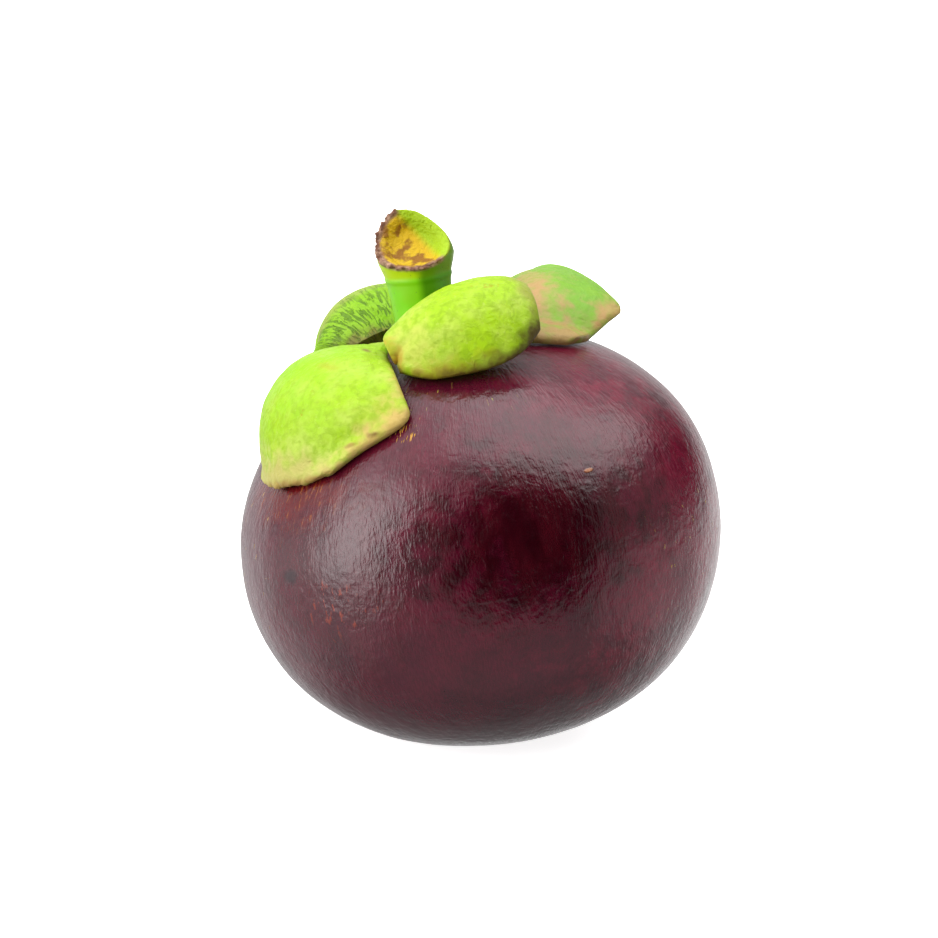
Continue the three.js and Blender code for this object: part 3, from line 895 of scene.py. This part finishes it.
class MANGOSTEEN_OT_fruit(bpy.types.Operator):
    """Models the fruit: a sphere shaped to the profile, made uneven, cut flat where it rests"""

    bl_idname = "mangosteen.fruit"
    bl_label = "Fruit"

    def execute(self, context):
        settings = context.scene.mangosteen_fruit
        deselect()
        bpy.ops.mesh.primitive_uv_sphere_add(
            segments=settings.segments, ring_count=settings.rings, radius=RADIUS * MM
        )
        fruit = new_piece("fruit_rind")
        points = on_skin(points_of(fruit), 0)
        direction = points / lengths(points)[:, None]
        uneven = bumpiness(points, 8) + 0.35 * bumpiness(points, 3.4, 1) + 0.12 * bumpiness(points, 1.5, 2)
        points = points + direction * (uneven * settings.swell / MM)[:, None]
        move_points(fruit, points)
        fruit.data.transform(metres(PLACED))

        edit_all(fruit)
        bpy.ops.mesh.bisect(
            plane_co=(0, 0, 0), plane_no=(0, 0, 1), use_fill=True, clear_inner=True, threshold=WELD / 10
        )
        bpy.ops.object.mode_set(mode="OBJECT")

        stem_seat = stem_blank("stem_seat", GAP)
        rosette_seat = rosette_blank("rosette_seat", GAP)
        stem_seat.data.transform(metres(PLACED @ Matrix.Translation(stem_foot())))
        rosette_seat.data.transform(metres(Matrix.Translation(BLOSSOM_END)))
        for seat in (stem_seat, rosette_seat):
            cut(fruit, seat)
        remove(stem_seat, rosette_seat)
        edit_all(fruit)
        bpy.ops.mesh.remove_doubles(threshold=WELD)
        bpy.ops.mesh.dissolve_degenerate(threshold=WELD)
        bpy.ops.object.mode_set(mode="OBJECT")
        finish_piece(fruit, rind_material(settings), "fruit", crease=30)
        return {"FINISHED"}


class MANGOSTEEN_OT_stem(bpy.types.Operator):
    """Models the stem: rings extruded upwards, its end broken off hollow, with a rough corky lip"""

    bl_idname = "mangosteen.stem"
    bl_label = "Stem"

    def execute(self, context):
        settings = context.scene.mangosteen_stem
        stem = stem_blank("stem_with_break")
        deselect()
        bpy.ops.mesh.primitive_uv_sphere_add(
            segments=96, ring_count=64, radius=BREAK["radius"] * MM, location=BREAK["centre"] * MM
        )
        hollow = new_piece("hollow")
        hollow.data.transform(Matrix.Diagonal((BREAK["stretch"], 1, 1, 1)))
        cut(stem, hollow)
        remove(hollow)
        deselect()
        stem.select_set(True)
        apply(stem, "REMESH", mode="VOXEL", voxel_size=settings.grain)
        self.shape(stem)
        stem.data.transform(metres(PLACED @ Matrix.Translation(stem_foot())))
        finish_piece(stem, stem_material(settings), "stem", crease=180)
        return {"FINISHED"}

    def shape(self, stem):
        """Deepens the hollow, raises the corky lip and the node ring, and marks what each place is."""
        points = points_of(stem)
        normals = normals_of(stem)
        from_ball = (points - np.array(BREAK["centre"])) / (BREAK["stretch"], 1, 1)
        off_break = lengths(from_ball) - BREAK["radius"]
        upright = points + np.outer(dome_lean(points[:, 2]), (1, 0, 0))
        radius = np.hypot(upright[:, 0], upright[:, 1])
        joint_radius, joint_height = STEM_OUTLINE[-1]
        heights = np.linspace(0, joint_height, 60)
        radii = [outline_radius(height)[0] for height in heights]
        wall = np.interp(points[:, 2], heights, radii)
        above = np.maximum(points[:, 2] - joint_height, 0)
        power = DOME["squareness"]
        filled = (radius / joint_radius) ** power + (above / DOME["height"]) ** power
        dome = joint_radius * (1 - filled ** (1 / power))
        inside = np.where(above > 0, dome, wall - radius)
        on_break = 1 - ramp(off_break, 0.05, 0.25)
        scooped = ramp(inside, SCOOP["rim"], SCOOP["slope"]) * on_break * SCOOP["depth"]
        # The upper right of the break is clean and fresh, the rest of its lip has dried to cork.
        upper_right = points[:, 0] * 0.75 + (points[:, 2] - joint_height) * 0.66
        dry = 1 - ramp(upper_right, 1.9, 1.2)
        off_edge = np.maximum(off_break, 0) ** 2 + np.maximum(inside, 0) ** 2
        lip = np.exp(-off_edge / LIP["width"] ** 2) * dry
        crumbs = bumpiness(points, 0.7, 3) + 0.6 * bumpiness(points, 0.35, 4)
        off_ring = (points[:, 2] - NODE_RING["height"]) / NODE_RING["width"]
        ring = NODE_RING["rise"] * np.exp(-(off_ring**2))
        angle = np.arctan2(points[:, 1], points[:, 0])
        facets = STEM_FACETS["rise"] * np.cos(STEM_FACETS["count"] * angle + STEM_FACETS["turn"])
        swell = 0.08 * bumpiness(points, 3, 5)
        outside = (1 - on_break) * (ring + facets + swell)
        lifted = outside + lip * (LIP["rise"] + LIP["crumbs"] * crumbs)
        points = points + normals * lifted[:, None]
        points = points + from_ball / lengths(from_ball)[:, None] * scooped[:, None]
        move_points(stem, points)
        mark(stem, "cork", smooth(lip * 1.7))
        mark(stem, "pith", on_break)
        mark(stem, "fresh", ramp(upper_right, 1.7, 1.2))
        # The bark is younger and paler above the node ring; shade is painted on its side towards +X.
        mark(stem, "young", ramp(points[:, 2], NODE_RING["height"], 0.8) * (1 - on_break))
        mark(stem, "painted_shade", ramp(points[:, 0], -0.4, 1.4) * (1 - on_break))


class MANGOSTEEN_OT_sepals(bpy.types.Operator):
    """Models the four sepals: grids doubled, arched and cupped over the crown, and cut clear of each other"""

    bl_idname = "mangosteen.sepals"
    bl_label = "Sepals"

    def execute(self, context):
        settings = context.scene.mangosteen_sepals
        stem_space = stem_blank("stem_space", GAP)
        stem_space.data.transform(metres(Matrix.Translation(stem_foot())))
        spaces = [sepal_space("left"), sepal_space("right")]
        for key in SEPALS:
            sepal = self.shaped(key, settings)
            cutters = [stem_space]
            if key in ("front", "back"):
                cutters += spaces
            deselect()
            sepal.select_set(True)
            for cutter in cutters:
                cut(sepal, cutter, "MANIFOLD")  # cuts these thin shells cleanly
            sepal.data.transform(metres(PLACED))
            finish_piece(sepal, sepal_material(key, settings), f"sepal_{key}")
        remove(stem_space, *spaces)
        return {"FINISHED"}

    def shaped(self, key, settings):
        """The whole sepal in the fruit's frame, with its rounded, ragged margin, before it is cut."""
        sepal = SEPALS[key]
        piece, u, v, below = blade_sheet(f"sepal_{key}_blade", settings.along, settings.across)
        piece.data.uv_layers[0].name = "blade"
        to_tip = (1 - u) * sepal["length"]
        to_side = (1 - np.abs(v)) * half_width(sepal, u)
        margin = np.minimum(to_tip, to_side)
        rounding = np.sqrt(1 - (1 - np.clip(margin / sepal["rim"], 0, 1)) ** 2)
        half = half_thickness(u, v) * between(MARGIN_SHARE, 1, rounding)
        # Each sepal has a place of its own in the noise.
        grid = np.stack([u * sepal["length"], v * sepal["width"], 0 * u + 7 * sepal["azimuth"]], axis=1)
        ragged = sepal["ragged"] * (bumpiness(grid, 2.2, 6) + 0.5 * bumpiness(grid, 0.9, 7))
        u = u + ragged / sepal["length"] * ramp(u, 0.5, 0.5)
        swell = settings.swell / MM * (bumpiness(grid, 6, 8) + 0.4 * bumpiness(grid, 2.5, 9))
        puff = sepal["puff"] * (1 - v**2) * np.sin(pi * np.clip(u, 0, 1))
        middle = swell + puff
        top = keep_off_skin(blade(sepal, u, v, middle + half), GAP + 2 * half)
        bottom = keep_off_skin(blade(sepal, u, v, middle - half), GAP)
        move_points(piece, np.where(below[:, None], bottom, top))
        face_outwards(piece)
        return piece


class MANGOSTEEN_OT_rosette(bpy.types.Operator):
    """Models the stigma rosette: a lobed disc, grooved between its lobes and dimpled in the middle"""

    bl_idname = "mangosteen.rosette"
    bl_label = "Stigma Rosette"

    def execute(self, context):
        rosette = rosette_blank("stigma_rosette_disc")
        apply(rosette, "REMESH", mode="VOXEL", voxel_size=ROSETTE["grain"] * MM)
        points = points_of(rosette)
        radius = np.hypot(points[:, 0], points[:, 1])
        angle = np.arctan2(points[:, 1], points[:, 0])
        groove = GROOVE["depth"] * rosette_notch(angle) * smooth(radius / GROOVE["start"])
        dimple = DIMPLE["depth"] * np.exp(-((radius / DIMPLE["radius"]) ** 2))
        pits = ROSETTE_PITS["depth"] * (1 + bumpiness(points, ROSETTE_PITS["size"], 11))
        hollow = dimple + groove + pits
        underside = 1 - smooth(2 * points[:, 2] / ROSETTE["thickness"])
        points[:, 2] = np.maximum(points[:, 2] + underside * hollow, 0)
        move_points(rosette, points)
        rosette.data.transform(metres(Matrix.Translation(BLOSSOM_END)))
        finish_piece(rosette, rosette_material(), "stigma_rosette", crease=40)
        return {"FINISHED"}


class MANGOSTEEN_OT_stage(bpy.types.Operator):
    """Sets up the floor, the soft studio light and the camera"""

    bl_idname = "mangosteen.stage"
    bl_label = "Stage"

    def execute(self, context):
        settings = context.scene.mangosteen_stage
        deselect()
        bpy.ops.mesh.primitive_plane_add(size=settings.floor_size)
        floor = new_piece("floor")
        floor.visible_glossy = False  # gloss mirrors the studio, not the table top
        material, tree = new_material("white_table_top")
        white = node(tree, "ShaderNodeBsdfDiffuse", {"Color": opaque(linear(TABLE["seen"]))})[0]
        glow = node(tree, "ShaderNodeEmission", {"Strength": TABLE["glow"]})[0]
        lit = node(tree, "ShaderNodeAddShader", {0: white, 1: glow})[0]
        dim = node(tree, "ShaderNodeBsdfDiffuse", {"Color": opaque(linear(TABLE["dim"]))})[0]
        seen = node(tree, "ShaderNodeLightPath")["Is Camera Ray"]
        shader = node(tree, "ShaderNodeMixShader", {0: seen, 1: dim, 2: lit})[0]
        node(tree, "ShaderNodeOutputMaterial", {"Surface": shader})
        floor.data.materials.append(material)
        studio_light(context.scene)
        # A soft light by the camera, left out of mirror images, so that the rind's gloss doesn't show it.
        lit_from = towards(*FRONT_LIGHT["from"])
        bpy.ops.object.light_add(type="AREA", location=FRONT_LIGHT["distance"] * lit_from)
        front_light = new_piece("front_light")
        front_light.rotation_euler = (-lit_from).to_track_quat("-Z", "Y").to_euler()
        front_light.data.energy = FRONT_LIGHT["power"]
        front_light.data.size = FRONT_LIGHT["size"]
        front_light.visible_glossy = False

        back = Vector((0, -cos(settings.elevation), sin(settings.elevation)))
        above = Vector((0, sin(settings.elevation), cos(settings.elevation)))
        target = (CENTRE + Vector((AIM["sideways"], 0, 0)) + above * AIM["above"]) * MM
        camera_data = bpy.data.cameras.new("camera")
        camera_data.lens = settings.lens
        camera_data.sensor_width = SENSOR
        camera = bpy.data.objects.new("camera", camera_data)
        context.scene.collection.objects.link(camera)
        camera.location = target + back * settings.distance
        camera.rotation_euler = (pi / 2 - settings.elevation, 0, 0)
        context.scene.camera = camera
        context.scene.view_settings.view_transform = "Standard"
        return {"FINISHED"}


class MANGOSTEEN_PT_panel(bpy.types.Panel):
    """Lists the pieces of the mangosteen"""

    bl_idname = "MANGOSTEEN_PT_panel"
    bl_label = "Mangosteen"
    bl_space_type = "VIEW_3D"
    bl_region_type = "UI"
    bl_category = "Mangosteen"

    def draw(self, context):
        for operator in OPERATORS:
            self.layout.operator(operator.bl_idname)


OPERATORS = [
    MANGOSTEEN_OT_stage,
    MANGOSTEEN_OT_fruit,
    MANGOSTEEN_OT_stem,
    MANGOSTEEN_OT_sepals,
    MANGOSTEEN_OT_rosette,
]
SETTINGS = {
    "mangosteen_stage": StageSettings,
    "mangosteen_fruit": FruitSettings,
    "mangosteen_stem": StemSettings,
    "mangosteen_sepals": SepalSettings,
}


def register():
    for group in SETTINGS.values():
        bpy.utils.register_class(group)
    for name, group in SETTINGS.items():
        setattr(bpy.types.Scene, name, bpy.props.PointerProperty(type=group))
    for operator in OPERATORS:
        bpy.utils.register_class(operator)
    bpy.utils.register_class(MANGOSTEEN_PT_panel)


def unregister():
    bpy.utils.unregister_class(MANGOSTEEN_PT_panel)
    for operator in reversed(OPERATORS):
        bpy.utils.unregister_class(operator)
    for name, group in SETTINGS.items():
        delattr(bpy.types.Scene, name)
        bpy.utils.unregister_class(group)


def main():
    register()
    bpy.ops.mangosteen.stage()
    bpy.ops.mangosteen.fruit()
    bpy.ops.mangosteen.stem()
    bpy.ops.mangosteen.sepals()
    bpy.ops.mangosteen.rosette()


if __name__ == "__main__":
    main()
